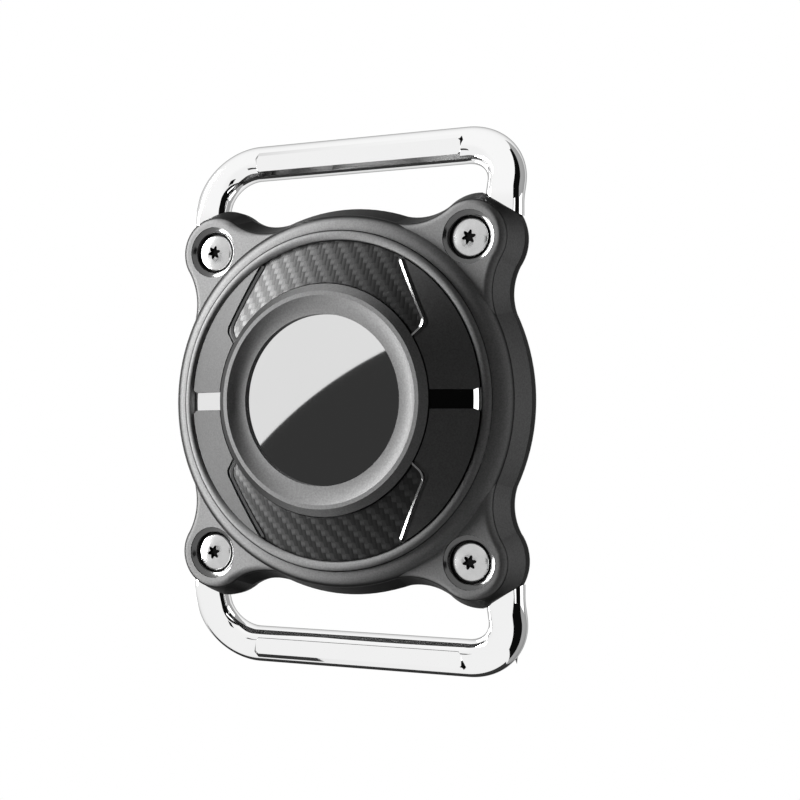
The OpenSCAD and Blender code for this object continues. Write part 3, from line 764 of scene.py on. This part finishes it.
def screwRings():
    # the radius, by angle, and the depth of each ring from the recess over the head to the tip
    shape = screwShape
    middle, lobe = shape["star"]
    turn = math.radians(shape["starTurn"])
    edge, core, tip = shape["head"], shape["core"], shape["tip"]

    def star(scale):
        return lambda angle: scale * (middle + lobe * math.cos(6 * (angle - turn)))

    def even(radius):
        return lambda angle: radius

    def domeAt(radius):
        return shape["top"] - shape["dome"] + math.sqrt(shape["dome"] ** 2 - radius ** 2)

    share, added, fadeRadius = shape["starFade"]
    rings = [(star(shape["starFloor"]), shape["top"] - shape["starDepth"])]
    rings += [(star(scale), domeAt(1) - down) for scale, down in shape["starSteps"]]
    rings += [(lambda angle: star(share)(angle) + added, domeAt(fadeRadius))]
    rings += [(even(radius), domeAt(radius)) for radius in shape["domeRings"]]
    rings += [(even(edge - inward), domeAt(edge) - down) for inward, down in shape["rimRound"]]
    rings += [(even(edge), shape["seat"]), (even(core), shape["seat"])]
    return rings + [(even(core), tip + shape["tipBevel"]), (even(core - shape["tipBevel"]), tip)]


def addThread(mesh, x, z):
    # one closed ridge wound round the core
    shape = screwShape
    core, ridge, low = shape["core"] - shape["threadSunk"], shape["thread"], shape["threadFrom"]
    root, crest = shape["threadHalf"]
    profile = ((core, low - root), (ridge, low - crest), (ridge, low + crest), (core, low + root))
    corners = [mesh.verts.new(spot(x + radius, z, depth)) for radius, depth in profile]
    start = mesh.faces.new(corners)
    bmesh.ops.spin(mesh, geom=[start] + list(start.edges) + corners, cent=spot(x, z, 0), axis=(0, -1, 0),
                   dvec=(0, -shape["pitch"] * mm / shape["turnSteps"], 0),
                   angle=2 * math.pi * shape["threadTurns"], steps=shape["turnSteps"] * shape["threadTurns"],
                   use_merge=False, use_duplicate=True)


def addScrew(corner, x, z):
    shape = screwShape
    bottom = shape["top"] - shape["starDepth"] - shape["starCone"]
    mesh = bmesh.new()
    bmesh.ops.create_circle(mesh, cap_ends=True, cap_tris=True, segments=shape["sides"],
                            radius=shape["starMiddle"] * mm)
    bmesh.ops.rotate(mesh, verts=mesh.verts, cent=(0, 0, 0), matrix=Matrix.Rotation(math.pi / 2, 3, "X"))
    bmesh.ops.translate(mesh, verts=mesh.verts, vec=spot(x, z, bottom))
    ring = [edge for edge in mesh.edges if edge.is_boundary]
    for reach, depth in screwRings():
        ring = growRing(mesh, ring, x, z, reach, depth)
    bmesh.ops.holes_fill(mesh, edges=ring, sides=0)
    addThread(mesh, x, z)
    body = "screw_" + "".join(word[0] for word in corner.split("_"))
    finishPiece(mesh, "steel_screw_" + corner, "screw", body, ["screw_" + corner])


for corner, (x, z) in screwShape["places"].items():
    addScrew(corner, x, z)
print("screws turned")


# Collars and trims

collarShape = {
    # radius and depth of the polished ring's section
    "profile": [(3.2, 7.9), (3.2, 8.02), (3.38, 8.16), (3.62, 8.3), (3.88, 8.42), (3.88, 8.2)],
    "steps": 96,
}
trimShape = {
    # x and z of the strip's points, and then of the rest of the face that it is cut from
    "strip": ((12.05, 20.05), (11.24, 20.5), (16.045, 10.72), (13.7, 8.07)),
    "rest": ((4, 8), (4, 23.5), (12.6, 23.5)),
    "endReach": 0.3,  # how far the strip runs on under the bezel
    "rounds": (0.55, 1.2),  # at the strip's second and third point
    "roundSteps": 6,
    "width": 0.34,
    "keep": (10.2, 20.8),  # the strip lies right of the first and below the second
    "proud": 0.02,
    "sunk": 0.24,
    "thickness": 0.3,
    "cone": (10.2, 23.5, 3.1 / 6.6),  # depth at the rim, radius of the rim and slope
    "cut": (3, 10, 8),  # edges longer than the first and right of the second are cut this many times
}


def addCollars():
    mesh = bmesh.new()
    for x, z in screwShape["places"].values():
        turned(mesh, collarShape["profile"], x, z, collarShape["steps"])
    finishPiece(mesh, "screw_collars", "body", "front", crease=50, material=finishes["bevel"])


def addTrims():
    shape = trimShape
    low, wide, slope = shape["cone"]
    left, top = (limit * mm for limit in shape["keep"])
    start, rim, corner, end = (Vector(point) for point in shape["strip"])
    end += (end - corner).normalized() * shape["endReach"]
    mesh = bmesh.new()
    verts = [mesh.verts.new(spot(*point, 0)) for point in (start, rim, corner, end, *shape["rest"])]
    mesh.faces.new(verts)
    for vert, radius in zip(verts[1:3], shape["rounds"]):
        bmesh.ops.bevel(mesh, geom=[vert], offset=radius * mm, offset_type="OFFSET",
                        segments=shape["roundSteps"], profile=0.5, affect="VERTICES", material=-1)
    # the long lines are cut up, so that the strip can bend with the cone
    length, right, cuts = shape["cut"]
    lines = [edge for edge in mesh.edges if edge.calc_length() > length * mm
             and all(vert.co.x > right * mm and vert.co.z < top for vert in edge.verts)]
    bmesh.ops.subdivide_edges(mesh, edges=lines, cuts=cuts)
    outer = set(mesh.verts)
    ring = bmesh.ops.inset_region(mesh, faces=mesh.faces[:], thickness=shape["width"] * mm,
                                  use_even_offset=True, use_boundary=True)["faces"]
    middles = {face: face.calc_center_median() for face in ring}
    keep = [face for face in ring if middles[face].x > left and middles[face].z < top]
    drop = [face for face in mesh.faces if face not in keep]
    bmesh.ops.delete(mesh, geom=drop, context="FACES")
    for vert in mesh.verts:
        depth = low + (wide - math.hypot(vert.co.x, vert.co.z) / mm) * slope
        vert.co.y = -(depth + (shape["proud"] if vert in outer else -shape["sunk"])) * mm
    thick = bmesh.ops.extrude_face_region(mesh, geom=mesh.faces[:])["geom"]
    bmesh.ops.translate(mesh, verts=parts(thick, bmesh.types.BMVert), vec=(0, shape["thickness"] * mm, 0))
    for axis in "XZ":
        bmesh.ops.mirror(mesh, geom=everything(mesh), matrix=Matrix.Identity(4),
                         merge_dist=0.0001 * mm, axis=axis)
    finishPiece(mesh, "carbon_trims", "disc", "front", crease=50, material=finishes["bevel"])


addCollars()
addTrims()
print("collars and trims fitted")


# Camera

camera = {
    "azimuth": 26.393,  # degrees round from the front towards the right
    "elevation": -1.287,
    "distance": 219.96 * mm,
    "lens": 66.997,
    "shift": 0.0813,  # the object stands left of the picture's middle
    "target": Vector((0, -8.6 * mm, 0.1 * mm)),
    "clip": (0.01, 20),
}


def addCamera():
    turn = math.radians(camera["azimuth"])
    rise = math.radians(camera["elevation"])
    back = Vector((math.sin(turn) * math.cos(rise), -math.cos(turn) * math.cos(rise), math.sin(rise)))
    data = bpy.data.cameras.new("camera")
    data.sensor_width = 36
    data.lens = camera["lens"]
    data.shift_x = camera["shift"]
    data.clip_start, data.clip_end = camera["clip"]
    eye = bpy.data.objects.new("camera", data)
    eye.location = camera["target"] + back * camera["distance"]
    eye.rotation_euler = (-back).to_track_quat("-Z", "Y").to_euler()
    bpy.context.scene.collection.objects.link(eye)
    bpy.context.scene.camera = eye


addCamera()
print("camera placed")


# Studio

studio = {
    "worldShown": 1.0,  # what the camera sees, where 1 is white
    "worldLight": 0.025,  # what lights the object
    "floorZ": -0.075,
    "floorSize": 3.0,
    "floorGrey": 0.16,
    "lamps": {
        # place, width, height, all in metres, and power in watts
        "key": ((-0.105, -0.045, 0.03), 0.025, 0.17, 0.86),
        "side": ((-0.12, 0.07, 0.0), 0.06, 0.12, 0.08),
        "rim": ((0.11, -0.06, 0.0), 0.02, 0.12, 0.014),
        "edge": ((0.13, 0.055, 0.0), 0.06, 0.12, 0.05),
    },
    # a board beside the case that keeps the key lamp off its side wall, with corners in y and z, in metres
    "board": {"x": -0.047, "low": (-0.0175, -0.074), "high": (0.05, 0.13)},
    # dark cards round the set, seen only in polished metal, as directions in degrees
    "frontCard": {"azimuth": -17.37, "rise": -11.14, "radius": 15.99, "low": -6.3, "shade": 0.045},
    "slotCard": {"azimuth": (20, 40), "rise": (-8, 8), "shade": 0.002},
    "sideCard": {"azimuth": (46, 98), "rise": (-66, 75), "shade": 0.004},
    "backCard": {"azimuth": (98, 150), "rise": (-66, 75), "shade": 0.4},
    # one more lies on the floor, between corners in x and y, in metres
    "floorCard": {"low": (-0.085, 0.002), "high": (0.03, 0.06), "shade": 0.04},
    "horizon": 0.94,  # how bright the surround is low down, where overhead is 1
    "overhead": (12, 45),  # degrees between which it brightens
}


def cardShade(finish, azimuth, rise):
    # how much of the white surround is seen in a direction, with the dark cards taken out
    front = studio["frontCard"]
    away = finish.length(azimuth - front["azimuth"], rise - front["rise"])
    inside = away.under(front["radius"]) * rise.over(front["low"]) * azimuth.under(front["azimuth"])
    dark = inside * (1 - front["shade"])
    for card in (studio["sideCard"], studio["backCard"], studio["slotCard"]):
        inside = azimuth.between(*card["azimuth"]) * rise.between(*card["rise"])
        dark = dark.atLeast(inside * (1 - card["shade"]))
    glow = finish.spread(finish.step(rise, *studio["overhead"]), studio["horizon"], 1)
    return glow * (1 - dark)


def azimuthOf(x, y):
    return x.angle(y * -1) * degrees


def addWorld():
    finish = Finish("world", True)
    x, y, z = finish.axes(finish.point("Generated"))
    glossy = finish.ray("Is Glossy Ray")
    shown = finish.ray("Is Camera Ray").atLeast(finish.ray("Is Transmission Ray"))
    cards = cardShade(finish, azimuthOf(x, y), z.arcsine() * degrees)
    surround = glossy * cards + (1 - glossy) * studio["worldLight"]
    strength = shown * studio["worldShown"] + (1 - shown) * surround
    light = finish.add("ShaderNodeBackground", None, {"Color": (1, 1, 1, 1), "Strength": strength})
    finish.add("ShaderNodeOutputWorld", None, {"Surface": light})
    bpy.context.scene.world = finish.material


def addLamp(name, place, width, height, power):
    data = bpy.data.lights.new(name, "AREA")
    data.shape = "RECTANGLE"
    data.size = width
    data.size_y = height
    data.energy = power
    lamp = bpy.data.objects.new(name, data)
    lamp.location = place
    lamp.rotation_euler = (-Vector(place)).to_track_quat("-Z", "Y").to_euler()
    bpy.context.scene.collection.objects.link(lamp)


def addBoard():
    board = studio["board"]
    (nearY, lowZ), (farY, highZ) = board["low"], board["high"]
    mesh = bmesh.new()
    corners = [(nearY, lowZ), (farY, lowZ), (farY, highZ), (nearY, highZ)]
    mesh.faces.new([mesh.verts.new((board["x"], y, z)) for y, z in corners])
    finish = Finish("shade board")
    piece = newPiece(mesh, "shade_board", finish.surface(colour=grey(0.02), rough=0.9))
    piece.visible_camera = False
    piece.visible_diffuse = False
    piece.visible_glossy = False
    piece.visible_transmission = False


def floorPaper():
    # white to the camera, dark under the card in reflections, and pale paper to all else
    finish = Finish("floor")
    x, y, z = finish.axes(finish.point())
    away = finish.length(x, y)
    rise = away.sum("ARCTAN2", studio["floorZ"], away) * degrees
    glossy = finish.ray("Is Glossy Ray")
    seen = finish.ray("Is Camera Ray").atLeast(finish.ray("Is Transmission Ray")).atLeast(glossy)
    card = studio["floorCard"]
    (left, near), (right, far) = card["low"], card["high"]
    lying = x.between(left, right) * y.between(near, far)
    around = cardShade(finish, azimuthOf(x, y), rise).atMost(1 - lying * (1 - card["shade"]))
    shade = 1 - glossy * (1 - around)
    glow = finish.add("ShaderNodeEmission", None, {"Color": (1, 1, 1, 1), "Strength": shade})
    paper = finish.add("ShaderNodeBsdfDiffuse", None, {"Color": grey(studio["floorGrey"])})
    mixed = finish.add("ShaderNodeMixShader", None, {0: seen, 1: paper, 2: glow})
    finish.add("ShaderNodeOutputMaterial", None, {"Surface": mixed})
    return finish.material


def addFloor():
    mesh = bmesh.new()
    bmesh.ops.create_grid(mesh, x_segments=1, y_segments=1, size=studio["floorSize"])
    bmesh.ops.translate(mesh, verts=mesh.verts, vec=(0, 0, studio["floorZ"]))
    floor = newPiece(mesh, "floor", floorPaper())


addWorld()
for name, values in studio["lamps"].items():
    addLamp(name, *values)
addBoard()
addFloor()
bpy.context.scene.view_settings.view_transform = "Standard"
print("studio lit")
